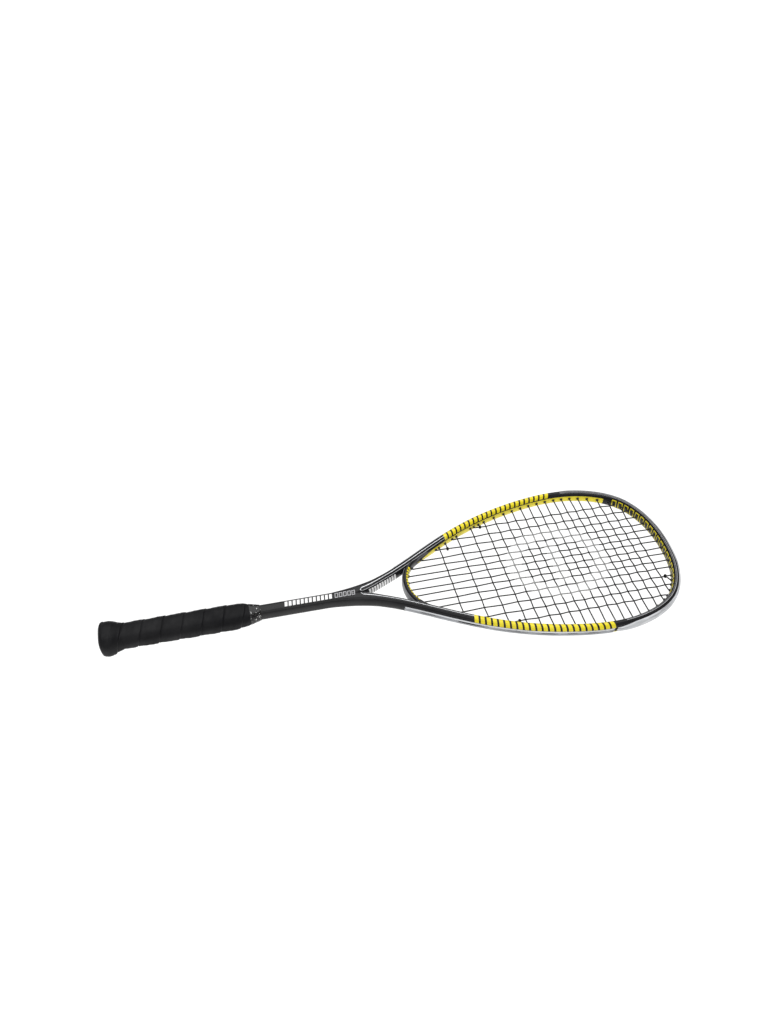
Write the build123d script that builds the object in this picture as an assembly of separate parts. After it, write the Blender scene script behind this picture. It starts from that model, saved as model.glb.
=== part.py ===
from build123d import *

import math
import os

# A squash racket, in millimetres.
# The origin is the centre of the butt's end face. +X runs along the handle to the tip of the
# head, +Y is to the side and +Z is square to the string bed, which lies at z = 0.
# Everything but the strings is the same on both sides of the plane Y = 0, so most pieces are
# made once for the +Y side and mirrored. "left" is the +Y side and "right" the -Y side.

# ---------------------------------------------------------------- driving dimensions

LENGTH = 686.0
GAP = 0.15                     # play between two pieces that are pushed or bonded together

# Frame tube: the centre line of one half, from the top of the shaft round to the tip. In the
# shaft it is the racket's own centre line, and the two halves part at the crotch.
SHAFT_START = 8.0
SHAFT_END = 262.0
HALF_LINE = [
    (SHAFT_END, 0.0), (276, 0.8), (288, 2.4), (300, 4.7), (312, 7.8), (326, 12.9), (340, 18.8), (380, 39.2),
    (430, 65.0), (480, 84.2), (530, 95.8), (580, 100.0), (625, 92.0), (655, 74.6), (672.5, 48.0),
    (679.0, 24.0), (680.6, 0.0),
]
# Half width of the tube in the plane of the head, by its X: the shaft, the swollen crotch that
# fills the angle between the arms, then an even taper to the tip.
TUBE_HALF_WIDTH = [(262, 6.9), (280, 7.1), (294, 6.7), (306, 6.5), (314, 6.1), (324, 5.4), (340, 5.2),
                   (430, 5.0), (530, 4.7), (620, 4.4), (681, 4.0)]
TUBE_HALF_DEPTH = [(262, 8.4), (300, 8.7), (430, 8.7), (530, 8.5), (681, 8.2)]
TUBE_SQUARENESS = [(262, 3.4), (290, 3.2), (320, 2.5), (340, 2.3), (681, 2.2)]
TUBE_WALL = 1.5
TUBE_STATIONS = 30
SHAFT_LAP = 4
SLEEVE = 0.12

# Channel round the outside of the head, where the strings turn back.
CHANNEL_START_X = 349.0
CHANNEL_DEPTH = 2.7
CHANNEL_HALF_HEIGHT = 2.8

# Bridge across the throat.
BRIDGE_CENTRE_X = 400.5
BRIDGE_INNER_RADIUS = 39.3
BRIDGE_THICKNESS = 7.0
BRIDGE_HALF_DEPTH = 7.4
BRIDGE_SQUARENESS = 2.8
BRIDGE_HALF_ANGLE = 54.0
BRIDGE_CHANNEL_DEPTH = 2.2
BRIDGE_CHANNEL_HALF_HEIGHT = 2.4
THROAT_STRIP_HALF_ANGLE = 28.0

# Strings: half the spacing pattern of the mains, and where the crosses lie.
STRING_RADIUS = 0.6
MAIN_Y = [5.2, 14.6, 24.4, 34.7, 46.4, 58.5, 71.7]
FIRST_CROSS_X = 412.5
CROSS_PITCH = [26, 21, 19.5, 14.5, 14, 12, 12, 11.5, 11.5, 11.5, 11.5, 10.5, 10.5, 10.5, 11, 12, 11.5, 12]
WEAVE_HEIGHT = 0.82            # height of the weave's corners, which its arcs round off
WEAVE_RADIUS = 8.0
STRING_BEND = 1.5              # radius of the sharp turns at the grommets
LOOP_STEP = 7.0                # spacing of the corners that lead a loop round the channel
PASSING_HEIGHT = 1.45          # how far a loop moves aside to pass another string's hole

LOOP_BEND = 25.0
LEAST_TURN = 0.005             # radians; a corner flatter than this is left out

# Tie-offs: the hole's distance along the half line, and the knot's place on its anchor main.
MAIN_TIE_OFF = (224.3, 471.6, 71.7)
CROSS_END_TIE_OFF = (170.0, 422.0, 46.4)
CROSS_START_TIE_OFF = (442.2, 661.0, 46.4)
KNOT_RADIUS = 1.75
KNOT_CORD_RADIUS = 0.6

# Grommets.
BARREL_RADIUS = 1.45
BORE_RADIUS = 0.95
NOSE_LENGTH = 1.0              # how far a barrel stands out inside the head
STRIP_THICKNESS = 0.85
STRIP_HALF_HEIGHT = CHANNEL_HALF_HEIGHT - GAP
STRIP_END_X = 573.0            # the side strips end here and the bumper begins just after
BUMPER_START_X = 575.5
BUMPER_THICKNESS = 0.95
BUMPER_LIFT = 0.25
BUMPER_HALF_HEIGHT = 6.0

# Handle: half width and half depth, by X. The cap flares at the butt, and the pallet is even
# up to its taper.
HANDLE_SQUARENESS = 2.8
CAP_PROFILE = [(0, 13.6, 12.2), (0.8, 14.8, 13.4), (2.2, 15.8, 14.4), (4.5, 16.6, 15.1), (8, 16.9, 15.3),
               (12, 16.6, 15.0), (15.5, 15.8, 14.1), (18.5, 14.7, 12.9), (21.5, 13.6, 11.7), (24, 13.0, 11.0)]
CAP_FLOOR = 3.0
PALLET_HALF_WIDTH = 12.3
PALLET_HALF_DEPTH = 10.3
PALLET_SCALE = [(CAP_FLOOR + GAP, 1.0), (148, 1.0), (156, 0.98), (163, 0.94), (168, 0.89), (171.5, 0.84)]
GRIP_END_X = 172.0
GRIP_THICKNESS = [(0.8, 0.7), (1.6, 1.4), (3.0, 1.9), (150, 1.9), (GRIP_END_X, 1.0)]
FINISH_PROFILE = [(GRIP_END_X + GAP, 10.4, 9.9), (176, 9.6, 9.7), (181, 8.2, 9.3), (184, 7.6, 9.1)]
STAPLE_X = 19.5
STAPLE_WIRE = 0.7
STAPLE_HALF_WIDTH = 4.5
STAPLE_TOP = 12.0
STAPLE_FOOT = 8.9

# Heights above the channel's floor.
STRIP_TOP = GAP + STRIP_THICKNESS
STRING_HEIGHT = STRIP_TOP + 0.3 + STRING_RADIUS

BRIDGE_CENTRE = Vector(BRIDGE_CENTRE_X, 0, 0)
BRIDGE_FLOOR_RADIUS = BRIDGE_INNER_RADIUS + BRIDGE_THICKNESS - BRIDGE_CHANNEL_DEPTH


# ---------------------------------------------------------------- helpers

def between(value, table):
    """Straight-line interpolation in a table of (value, result) pairs."""
    if value <= table[0][0]:
        return table[0][1]
    for (low, first), (high, second) in zip(table, table[1:]):
        if value <= high:
            return first + (second - first) * (value - low) / (high - low)
    return table[-1][1]


def rounded_section(plane, half_width, half_depth, squareness, points=16):
    """A face between an ellipse (squareness 2) and a rectangle, centred on a plane."""
    power = 2 / squareness
    outline = []
    for i in range(points):
        angle = 2 * math.pi * i / points
        across, up = math.cos(angle), math.sin(angle)
        outline.append((math.copysign(abs(across) ** power, across) * half_width,
                        math.copysign(abs(up) ** power, up) * half_depth))
    return plane * make_face(Spline(*outline, periodic=True))


half_line = Spline(*HALF_LINE, tangents=[(1, 0), (0, -1)])


class Station:
    """A place on the tube's centre line: its point, its outward normal and the tube's size."""

    def __init__(self, t):
        self.t = t
        self.point = half_line @ t
        self.along = half_line % t
        self.out = Vector(-self.along.Y, self.along.X, 0)
        x = self.point.X
        self.half_width = between(x, TUBE_HALF_WIDTH)
        self.half_depth = between(x, TUBE_HALF_DEPTH)
        self.squareness = between(x, TUBE_SQUARENESS)

    def outwards(self, distance, z=0.0):
        """The point this far out from the centre line."""
        return self.point + self.out * distance + Vector(0, 0, z)

    def surface(self, distance, z=0.0):
        """The point this far out from the tube's outermost line."""
        return self.outwards(self.half_width + distance, z)

    def channel(self, height, z=0.0):
        """The point this far above the floor of the string channel."""
        return self.surface(height - CHANNEL_DEPTH, z)

    def section(self, grow=0.0, shift=0.0, narrow=0.0):
        plane = Plane(self.outwards(shift), x_dir=self.out, z_dir=self.along)
        return rounded_section(plane, self.half_width + grow - narrow, self.half_depth + grow,
                               self.squareness)


def stations(first, last, count):
    return [Station(first + (last - first) * i / (count - 1)) for i in range(count)]


def station_at_x(x, low=0.0, high=0.75):
    """Bisection for the station whose centre is at this X, on the handle side of the widest."""
    for _ in range(40):
        middle = (low + high) / 2
        if (half_line @ middle).X < x:
            low = middle
        else:
            high = middle
    return Station((low + high) / 2)


def mirrored(shape):
    return mirror(shape, about=Plane.XZ)


def cylinder_between(start, end, radius):
    direction = end - start
    plane = Plane(start, z_dir=direction)
    return plane * Cylinder(radius, direction.length, align=(Align.CENTER, Align.CENTER, Align.MIN))


# ---------------------------------------------------------------- frame tube

def shaft_section(x, grow=0.0):
    plane = Plane((x, 0, 0), x_dir=(0, 1, 0), z_dir=(1, 0, 0))
    first = Station(0.0)
    return rounded_section(plane, first.half_width + grow, first.half_depth + grow, first.squareness)


def tube_sections(first, last, count, grow=0.0, cavity=False):
    """Sections between two places on the half line, carried two stations past the tip."""
    def cut(s):
        if not cavity:
            return s.section(grow=grow)
        outer_wall = between(s.point.X, [(325, TUBE_WALL), (347, CHANNEL_DEPTH + 1.2)])
        extra = (outer_wall - TUBE_WALL) / 2
        return s.section(grow=-TUBE_WALL, shift=-extra, narrow=extra)

    row = stations(first, last, count)
    faces = [cut(s) for s in row]
    if last == 1.0:
        faces += [mirrored(cut(s)) for s in (row[-2], row[-3])]
    return faces


def head_tube(cavity=False):
    """Both arms and the hoop. The cavity starts inside the shaft, so that the two hollows meet."""
    sections = tube_sections(0.0, 1.0, TUBE_STATIONS, cavity=cavity)
    if cavity:
        sections.insert(0, shaft_section(SHAFT_END - 2, grow=-TUBE_WALL))
    return both_halves(loft(sections))


def keep_half(shape):
    return shape & Pos(LENGTH, LENGTH / 2, 0) * Box(4 * LENGTH, LENGTH, 100)


def both_halves(shape):
    half = keep_half(shape)
    return half + mirrored(half)


def side_line(row, height, past_tip):
    """Points this far above the channel's floor, carried two stations past the tip."""
    points = [s.channel(height) for s in row]
    if past_tip:
        points += [mirrored_point(s.channel(height)) for s in (row[-2], row[-3])]
    return points


def mirrored_point(p):
    return Vector(p.X, -p.Y, p.Z)


def outside_slab(first, last, low, high, half_height, count=40):
    """A band round the head between two heights above the channel's floor."""
    row = stations(first, last, count)
    inner = side_line(row, low, last == 1.0)
    outer = side_line(row, high, last == 1.0)
    edges = [Spline(*inner), Spline(*outer), Line(inner[0], outer[0]), Line(inner[-1], outer[-1])]
    return extrude(make_face(edges), half_height, both=True)


def shaft_bar(start, finish, grow=0.0):
    return extrude(shaft_section(start, grow), finish - start, dir=(1, 0, 0))


def make_frame():
    """The outside first, then the hollow, the string channel and the holes are cut from it.

    The shaft laps over the start of the arms and is a little thicker, as a bonded sleeve is."""
    outside = head_tube() + shaft_bar(SHAFT_START, SHAFT_END + SHAFT_LAP, grow=SLEEVE)
    hollow = head_tube(cavity=True)
    hollow += shaft_bar(SHAFT_START - 1, SHAFT_END + SHAFT_LAP + 2, grow=-TUBE_WALL - SLEEVE)
    channel = both_halves(outside_slab(channel_start.t, 1.0, 0.0, 12.0, CHANNEL_HALF_HEIGHT))
    drills = [hole.drill() for hole in tube_holes]
    drills += [mirrored(drill) for drill in drills]
    return outside - hollow - channel - drills


# ---------------------------------------------------------------- string holes

class Hole:
    """A hole square to a wall of the frame or the bridge, and the grommet barrel in it.

    inner is on the wall's inside face and outer on the floor of its channel."""

    def __init__(self, inner, outer, t=0.0):
        self.inner = inner
        self.outer = outer
        self.t = t
        self.axis = (outer - inner).normalized()

    def drill(self):
        start = self.inner - self.axis * 3
        return cylinder_between(start, self.outer + self.axis * 3, BARREL_RADIUS + GAP)

    def barrel(self):
        start = self.inner - self.axis * NOSE_LENGTH
        return cylinder_between(start, self.outer + self.axis * (GAP + STRIP_THICKNESS / 2), BARREL_RADIUS)

    def bore(self):
        start = self.inner - self.axis * 3
        return cylinder_between(start, self.outer + self.axis * 3, BORE_RADIUS)

    def mouth(self, string_direction):
        """The corner of the string inside the head, where it turns into this hole."""
        turn = math.acos(min(1.0, abs(string_direction.dot(self.axis))))
        return self.inner - self.axis * (NOSE_LENGTH + STRING_BEND * math.tan(turn / 2))

    def exit(self):
        """The corner of the string in the channel outside."""
        return self.outer + self.axis * STRING_HEIGHT


def hole_in_tube(t):
    """A hole through the tube, carried on to the bridge's inside face where that lies further in."""
    s = Station(t)
    inner = s.outwards(-s.half_width)
    from_centre = inner - BRIDGE_CENTRE
    past = from_centre.length - BRIDGE_INNER_RADIUS
    if inner.X < BRIDGE_CENTRE_X and past > 0:
        inward = from_centre.dot(s.out)
        inner -= s.out * (inward - math.sqrt(inward ** 2 - from_centre.length ** 2 + BRIDGE_INNER_RADIUS ** 2))
    return Hole(inner, s.channel(0), t)


def hole_for_line(value, across, low, high):
    """The hole whose string corner lies on the line X = value or, if across is False, Y = value."""
    direction = Vector(0, 1, 0) if across else Vector(1, 0, 0)

    def miss(t):
        corner = hole_in_tube(t).mouth(direction)
        return (corner.X if across else corner.Y) - value

    rising = miss(high) > miss(low)
    for _ in range(40):
        middle = (low + high) / 2
        if (miss(middle) < 0) == rising:
            low = middle
        else:
            high = middle
    return hole_in_tube((low + high) / 2)


def hole_in_bridge(y):
    """The hole through the bridge whose string corner lies on the line Y = y."""
    angle = 0.0
    for _ in range(10):
        corner_radius = BRIDGE_INNER_RADIUS - NOSE_LENGTH - STRING_BEND * math.tan(angle / 2)
        angle = math.asin(y / corner_radius)
    axis = Vector(-math.cos(angle), math.sin(angle), 0)
    return Hole(BRIDGE_CENTRE + axis * BRIDGE_INNER_RADIUS, BRIDGE_CENTRE + axis * BRIDGE_FLOOR_RADIUS)


# ---------------------------------------------------------------- throat bridge

def bridge_ring(inner_radius, outer_radius, half_height, half_angle):
    """A flat-topped piece of ring about the bridge's centre."""
    sector = [(0, 0)]
    for angle in (-half_angle, 0, half_angle):
        sector.append((-90 * math.cos(math.radians(angle)), 90 * math.sin(math.radians(angle))))
    ring = Circle(outer_radius) - Circle(inner_radius)
    ring &= make_face(Polyline(*sector, close=True))
    return Pos(BRIDGE_CENTRE_X, 0, 0) * extrude(ring, half_height, both=True)


def make_bridge():
    middle = BRIDGE_INNER_RADIUS + BRIDGE_THICKNESS / 2
    start = Plane((BRIDGE_CENTRE_X - middle, 0, 0), x_dir=(1, 0, 0), z_dir=(0, -1, 0))
    face = rounded_section(start, BRIDGE_THICKNESS / 2, BRIDGE_HALF_DEPTH, BRIDGE_SQUARENESS)
    axis = Axis((BRIDGE_CENTRE_X, 0, 0), (0, 0, -1))
    half = revolve(face, axis, BRIDGE_HALF_ANGLE)
    half -= loft(tube_sections(channel_start.t - 0.06, arm_end.t, 16, grow=GAP))
    half -= bridge_ring(BRIDGE_FLOOR_RADIUS, 60, BRIDGE_CHANNEL_HALF_HEIGHT, BRIDGE_HALF_ANGLE)
    half -= [hole.drill() for hole in bridge_holes + tube_holes[:1]]
    return half + mirrored(half)


# ---------------------------------------------------------------- grommet strips and bumper

def make_side_strip(side_holes):
    strip = outside_slab(strip_start.t, strip_end.t, GAP, STRIP_TOP, STRIP_HALF_HEIGHT)
    strip += [hole.barrel() for hole in side_holes]
    return strip - [hole.bore() for hole in side_holes]


def make_throat_strip():
    strip = bridge_ring(BRIDGE_FLOOR_RADIUS + GAP, BRIDGE_FLOOR_RADIUS + STRIP_TOP,
                        BRIDGE_CHANNEL_HALF_HEIGHT - GAP, THROAT_STRIP_HALF_ANGLE)
    barrels = [hole.barrel() for hole in bridge_holes]
    bores = [hole.bore() for hole in bridge_holes]
    strip += barrels + [mirrored(b) for b in barrels]
    return strip - bores - [mirrored(b) for b in bores]


def bumper_section(s):
    """The bumper's section: a tray for the strings in the channel and a flange over each edge."""
    def tube_surface(z):
        ratio = 1 - (z / s.half_depth) ** s.squareness
        return s.half_width * (ratio ** (1 / s.squareness) - 1)

    tray_floor = GAP - CHANNEL_DEPTH
    heights = [STRIP_HALF_HEIGHT, 4.4, BUMPER_HALF_HEIGHT]
    under = [(tube_surface(z) + BUMPER_LIFT, z) for z in heights]
    rim = BUMPER_LIFT + BUMPER_THICKNESS
    over = [(tube_surface(z) + rim, z) for z in (BUMPER_HALF_HEIGHT - 0.3, 4.4, 2.0)]
    upper = [(tray_floor, STRIP_HALF_HEIGHT)] + under + over + [(tray_floor + STRIP_THICKNESS, 2.0)]
    lower = [(n, -z) for n, z in reversed(upper)]
    points = [s.surface(n, z) for n, z in upper + lower]
    return make_face(Polyline(*points, close=True))


def make_bumper():
    row = stations(bumper_start.t, 1.0, 22)
    faces = [bumper_section(s) for s in row]
    faces += [mirrored(f) for f in (faces[-2], faces[-3])]
    shell = keep_half(loft(faces))
    shell += [hole.barrel() for hole in bumper_holes]
    shell -= [hole.bore() for hole in bumper_holes]
    return shell + mirrored(shell)


# ---------------------------------------------------------------- strings

def bent_string(corners):
    """A string through a list of (point, bend radius): straight runs joined by tangent arcs."""
    edges = []
    start = corners[0][0]
    for (before, _), (corner, radius), (after, _) in zip(corners, corners[1:], corners[2:]):
        back = (before - corner).normalized()
        ahead = (after - corner).normalized()
        turn = math.pi - math.acos(max(-1.0, min(1.0, back.dot(ahead))))
        if turn < LEAST_TURN:
            continue
        room = 0.9 * min((corner - start).length, (after - corner).length / 2)
        radius = min(radius, room / math.tan(turn / 2))
        reach = radius * math.tan(turn / 2)
        into = (back + ahead).normalized()
        middle = corner + into * (radius / math.cos(turn / 2) - radius)
        edges.append(Line(start, corner + back * reach))
        edges.append(ThreePointArc(corner + back * reach, middle, corner + ahead * reach))
        start = corner + ahead * reach
    edges.append(Line(start, corners[-1][0]))
    path = Wire(edges)
    profile = Plane(path @ 0, z_dir=path % 0) * Circle(STRING_RADIUS)
    return sweep(profile, path=path)


def loop_corners(first, last, side):
    """The corners of a loop round the channel of the +Y half, between two holes of the tube.

    The string moves aside by side * PASSING_HEIGHT where it passes another hole."""
    low, high = sorted((first.t, last.t))
    marks = [(low, 0.0), (high, 0.0)]
    for hole in tube_holes:
        if low < hole.t < high:
            marks.append((hole.t, side * PASSING_HEIGHT))
    marks.sort()
    corners = []
    for (t1, z1), (t2, z2) in zip(marks, marks[1:]):
        steps = max(1, round((t2 - t1) * half_line.length / LOOP_STEP))
        for i in range(1, steps + 1):
            s = Station(t1 + (t2 - t1) * i / steps)
            corners.append((s.channel(STRING_HEIGHT, z1 + (z2 - z1) * i / steps), LOOP_BEND))
    corners.pop()
    return corners if first.t < last.t else corners[::-1]


def turned(corners):
    """The same corners after half a turn about the racket's own axis."""
    return [(Vector(p.X, -p.Y, -p.Z), radius) for p, radius in corners]


def end_corners(hole, direction):
    """The two corners of a string that comes in from the channel through a hole."""
    return [(hole.exit(), STRING_BEND), (hole.mouth(direction), STRING_BEND)]


def tail_corners(hole, knot):
    """The end of a string: in through its tie-off hole and along to its knot."""
    direction = (knot - hole.inner).normalized()
    stop = knot - direction * (KNOT_RADIUS + KNOT_CORD_RADIUS + GAP)
    return end_corners(hole, direction) + [(stop, STRING_BEND)]


def weave_height(i, j):
    """The height of the +Y side's main i where it meets cross j. The cross is as far below."""
    return WEAVE_HEIGHT if (i + j) % 2 == 0 else -WEAVE_HEIGHT


def main_corners():
    """Half of the main string, from the tip's centre through each main in turn to its tie-off."""
    corners = [(Station(1.0).channel(STRING_HEIGHT), LOOP_BEND)]
    last_main = len(MAIN_Y) - 1
    for i, (throat, tip) in enumerate(zip(throat_holes, tip_holes)):
        low = throat.mouth(ALONG).X
        high = tip.mouth(ALONG).X
        run = end_corners(throat, ALONG)
        run += [(Vector(x, MAIN_Y[i], weave_height(i, j)), WEAVE_RADIUS)
                for j, x in enumerate(CROSS_X) if low < x < high]
        run += end_corners(tip, ALONG)[::-1]
        to_throat = i % 2 == 0
        corners += run[::-1] if to_throat else run
        if i == 0:
            corners.append((bridge_loop_corner, LOOP_BEND))
        elif i == last_main:
            corners += loop_corners(throat, main_tie_off, 1)
        elif to_throat:
            corners += loop_corners(throat, throat_holes[i + 1], 1)
        else:
            corners += loop_corners(tip, tip_holes[i + 1], 1)
    return corners + tail_corners(main_tie_off, main_knot)


def make_main_string():
    half = main_corners()
    return bent_string(turned(half[:0:-1]) + half)


def cross_half(j):
    """Half of a cross, from the middle out to its hole on the +Y side."""
    hole = cross_holes[j]
    corners = []
    for i, y in enumerate(MAIN_Y):
        mains_start = throat_holes[i].mouth(ALONG).X
        mains_end = tip_holes[i].mouth(ALONG).X
        if mains_start < CROSS_X[j] < mains_end:
            corners.append((Vector(CROSS_X[j], y, -weave_height(i, j)), WEAVE_RADIUS))
    return corners + end_corners(hole, ACROSS)[::-1]


def make_cross_string():
    """The cross string, from the cross by the tip down to the cross by the throat."""
    last = len(CROSS_X) - 1
    corners = turned(tail_corners(start_tie_off, start_knot)[::-1])
    corners += turned(loop_corners(start_tie_off, cross_holes[last], -1))
    for j in range(last, -1, -1):
        half = cross_half(j)
        whole = turned(half[::-1]) + half
        to_left = (last - j) % 2 == 0
        corners += whole if to_left else whole[::-1]
        following = cross_holes[j - 1] if j > 0 else end_tie_off
        loop = loop_corners(cross_holes[j], following, -1)
        corners += loop if to_left else turned(loop)
    return bent_string(corners + tail_corners(end_tie_off, end_knot))


def knot(place, hole):
    """Two turns of string round an anchor main, with the cut end standing off."""
    around = Plane(place, z_dir=(1, 0, 0))
    turns = [around * Pos(0, 0, z) * Torus(KNOT_RADIUS, KNOT_CORD_RADIUS) for z in (-0.5, 0.5)]
    away = (place - hole.inner).normalized()
    away = Vector(away.X, away.Y, 0.6).normalized()
    side = place + Vector(0, 0, KNOT_RADIUS)
    tail = cylinder_between(side, side + away * 3.2, KNOT_CORD_RADIUS)
    return turns[0] + turns[1] + tail


# ---------------------------------------------------------------- handle

def handle_bar(profile):
    """A rounded bar through a list of (x, half width, half depth)."""
    faces = []
    for x, half_width, half_depth in profile:
        plane = Plane((x, 0, 0), x_dir=(0, 1, 0), z_dir=(1, 0, 0))
        faces.append(rounded_section(plane, half_width, half_depth, HANDLE_SQUARENESS))
    return loft(faces, ruled=True)


def grown(profile, amount):
    return [(x, half_width + amount, half_depth + amount) for x, half_width, half_depth in profile]


pallet_profile = [(x, PALLET_HALF_WIDTH * s, PALLET_HALF_DEPTH * s) for x, s in PALLET_SCALE]


def staple(grow=0.0, rise=0.0):
    """A staple over the cap's upper side. rise opens its room up to the outside."""
    wire = STAPLE_WIRE + 2 * grow
    width = 2 * (STAPLE_HALF_WIDTH + grow)
    top = STAPLE_TOP + grow + rise
    foot = STAPLE_FOOT - grow
    low = (Align.CENTER, Align.CENTER, Align.MIN)
    crown_foot = STAPLE_TOP - STAPLE_WIRE - grow
    crown = Pos(STAPLE_X, 0, crown_foot) * Box(wire, width, top - crown_foot, align=low)
    leg_y = STAPLE_HALF_WIDTH - STAPLE_WIRE / 2
    legs = [Pos(STAPLE_X, y, foot) * Box(wire, wire, top - foot, align=low) for y in (-leg_y, leg_y)]
    return crown + legs


def both_staples(**sizes):
    upper = staple(**sizes)
    return upper + mirror(upper, about=Plane.XY)


def make_pallet():
    pallet = handle_bar(pallet_profile)
    pallet -= shaft_bar(SHAFT_START, SHAFT_END, grow=SLEEVE + GAP)
    return pallet - both_staples(grow=GAP, rise=3)


def make_cap():
    cap_end = CAP_PROFILE[-1][0]
    pocket = [(x, PALLET_HALF_WIDTH, PALLET_HALF_DEPTH) for x in (CAP_FLOOR, cap_end + 5)]
    return handle_bar(CAP_PROFILE) - handle_bar(grown(pocket, GAP)) - both_staples(grow=GAP, rise=3)


def make_grip():
    cap = [step for step in CAP_PROFILE if step[0] > 0]
    cap_end = CAP_PROFILE[-1][0]
    pallet = [(x, PALLET_HALF_WIDTH * between(x, PALLET_SCALE), PALLET_HALF_DEPTH * between(x, PALLET_SCALE))
              for x in (cap_end + 2, 148, 156, 163, 168, GRIP_END_X)]
    under = grown(cap + pallet, GAP)
    over = [(x, w + between(x, GRIP_THICKNESS), d + between(x, GRIP_THICKNESS)) for x, w, d in under]
    return handle_bar(over) - handle_bar(under)


def make_finishing_tape():
    return handle_bar(FINISH_PROFILE) - shaft_bar(GRIP_END_X - 5, SHAFT_END, grow=SLEEVE + GAP)


# ---------------------------------------------------------------- places worked out from the sizes

ALONG = Vector(1, 0, 0)
ACROSS = Vector(0, 1, 0)
CROSS_X = [FIRST_CROSS_X + sum(CROSS_PITCH[:j]) for j in range(len(CROSS_PITCH) + 1)]

channel_start = station_at_x(CHANNEL_START_X)
strip_start = station_at_x(CHANNEL_START_X + 1.5)
arm_end = station_at_x(420)
strip_end = station_at_x(STRIP_END_X)
bumper_start = station_at_x(BUMPER_START_X)
WIDEST = station_at_x(574).t
FIRST_HOLE = station_at_x(352).t

bridge_holes = [hole_in_bridge(y) for y in MAIN_Y[:2]]
arm_holes = [hole_for_line(y, False, FIRST_HOLE, WIDEST) for y in MAIN_Y[2:]]
throat_holes = bridge_holes + arm_holes
tip_holes = [hole_for_line(y, False, WIDEST, 1.0) for y in MAIN_Y]
cross_holes = [hole_for_line(x, True, FIRST_HOLE, 0.99) for x in CROSS_X]
main_tie_off, end_tie_off, start_tie_off = [
    hole_in_tube(tie[0] / half_line.length)
    for tie in (MAIN_TIE_OFF, CROSS_END_TIE_OFF, CROSS_START_TIE_OFF)
]
main_knot, end_knot, start_knot = [
    Vector(tie[1], tie[2], 0) for tie in (MAIN_TIE_OFF, CROSS_END_TIE_OFF, CROSS_START_TIE_OFF)
]
tube_holes = arm_holes + tip_holes + cross_holes + [main_tie_off, end_tie_off, start_tie_off]
tube_holes.sort(key=lambda hole: hole.t)
bridge_loop_corner = BRIDGE_CENTRE + (bridge_holes[0].axis + bridge_holes[1].axis).normalized() * (
    BRIDGE_FLOOR_RADIUS + STRING_HEIGHT)
strip_holes = [hole for hole in tube_holes if hole.t < strip_end.t]
bumper_holes = [hole for hole in tube_holes if hole.t > bumper_start.t]


# ---------------------------------------------------------------- build and write

def write(name, shape):
    os.makedirs("parts", exist_ok=True)
    export_step(shape, f"parts/{name}.step")
    box = shape.bounding_box()
    print(f"{name:28s} {len(shape.solids()):3d} solids {shape.volume:10.1f} mm3  valid {shape.is_valid}",
          [round(v, 1) for v in (*box.min, *box.max)])


side_strip = make_side_strip(strip_holes)
knot_main = knot(main_knot, main_tie_off)
write("handle_pallet", make_pallet())
write("butt_cap", make_cap())
write("butt_cap_staples", both_staples())
write("grip_tape", make_grip())
write("finishing_tape", make_finishing_tape())
write("side_grommet_strip_left", side_strip)
write("side_grommet_strip_right", mirrored(side_strip))
write("throat_grommet_strip", make_throat_strip())
write("head_bumper", make_bumper())
write("throat_bridge", make_bridge())
write("frame", make_frame())
write("main_string_knots", Compound([knot_main, Rot(180, 0, 0) * knot_main]))
write("cross_string_knots", Compound([knot(end_knot, end_tie_off),
                                      Rot(180, 0, 0) * knot(start_knot, start_tie_off)]))
write("main_string", make_main_string())
write("cross_string", make_cross_string())
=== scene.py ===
import math

import bmesh
import bpy
import numpy as np
from mathutils import Matrix, Vector


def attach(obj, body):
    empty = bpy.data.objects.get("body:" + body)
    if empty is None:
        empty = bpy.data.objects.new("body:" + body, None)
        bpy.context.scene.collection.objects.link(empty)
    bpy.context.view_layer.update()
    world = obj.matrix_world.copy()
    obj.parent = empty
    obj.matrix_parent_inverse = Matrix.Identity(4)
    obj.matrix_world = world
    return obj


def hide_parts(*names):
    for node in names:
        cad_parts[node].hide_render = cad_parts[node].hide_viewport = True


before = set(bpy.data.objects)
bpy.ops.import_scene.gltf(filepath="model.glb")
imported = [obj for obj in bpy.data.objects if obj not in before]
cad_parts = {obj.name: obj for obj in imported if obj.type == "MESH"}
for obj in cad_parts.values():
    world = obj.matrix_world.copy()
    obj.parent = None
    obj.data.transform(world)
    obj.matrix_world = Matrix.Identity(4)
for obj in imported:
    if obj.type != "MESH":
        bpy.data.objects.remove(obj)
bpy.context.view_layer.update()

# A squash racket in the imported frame: +X to the tip, +Y across, +Z square to the strings.
# Lengths below are in millimetres and become metres when a mesh is made.
MM = 0.001

# ---------------------------------------------------------------- driving dimensions

# Centre line of one half of the frame tube, from the top of the shaft round to the tip.
SHAFT_TOP = 262.0
HALF_LINE = [
    (SHAFT_TOP, 0.0), (276, 0.8), (288, 2.4), (300, 4.7), (312, 7.8), (326, 12.9), (340, 18.8), (380, 39.2),
    (430, 65.0), (480, 84.2), (530, 95.8), (580, 100.0), (625, 92.0), (655, 74.6), (672.5, 48.0),
    (679.0, 24.0), (680.6, 0.0),
]
TUBE_HALF_WIDTH = [(262, 6.9), (280, 7.1), (294, 6.7), (306, 6.5), (314, 6.1), (324, 5.4), (340, 5.2),
                   (430, 5.0), (530, 4.7), (620, 4.4), (681, 4.0)]
TUBE_HALF_DEPTH = [(262, 8.4), (300, 8.7), (430, 8.7), (530, 8.5), (681, 8.2)]
TUBE_SQUARENESS = [(262, 3.4), (290, 3.2), (320, 2.5), (340, 2.3), (681, 2.2)]
CHANNEL_START_X = 349.0
CHANNEL_DEPTH = 2.7
CHANNEL_HALF_HEIGHT = 2.8
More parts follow.
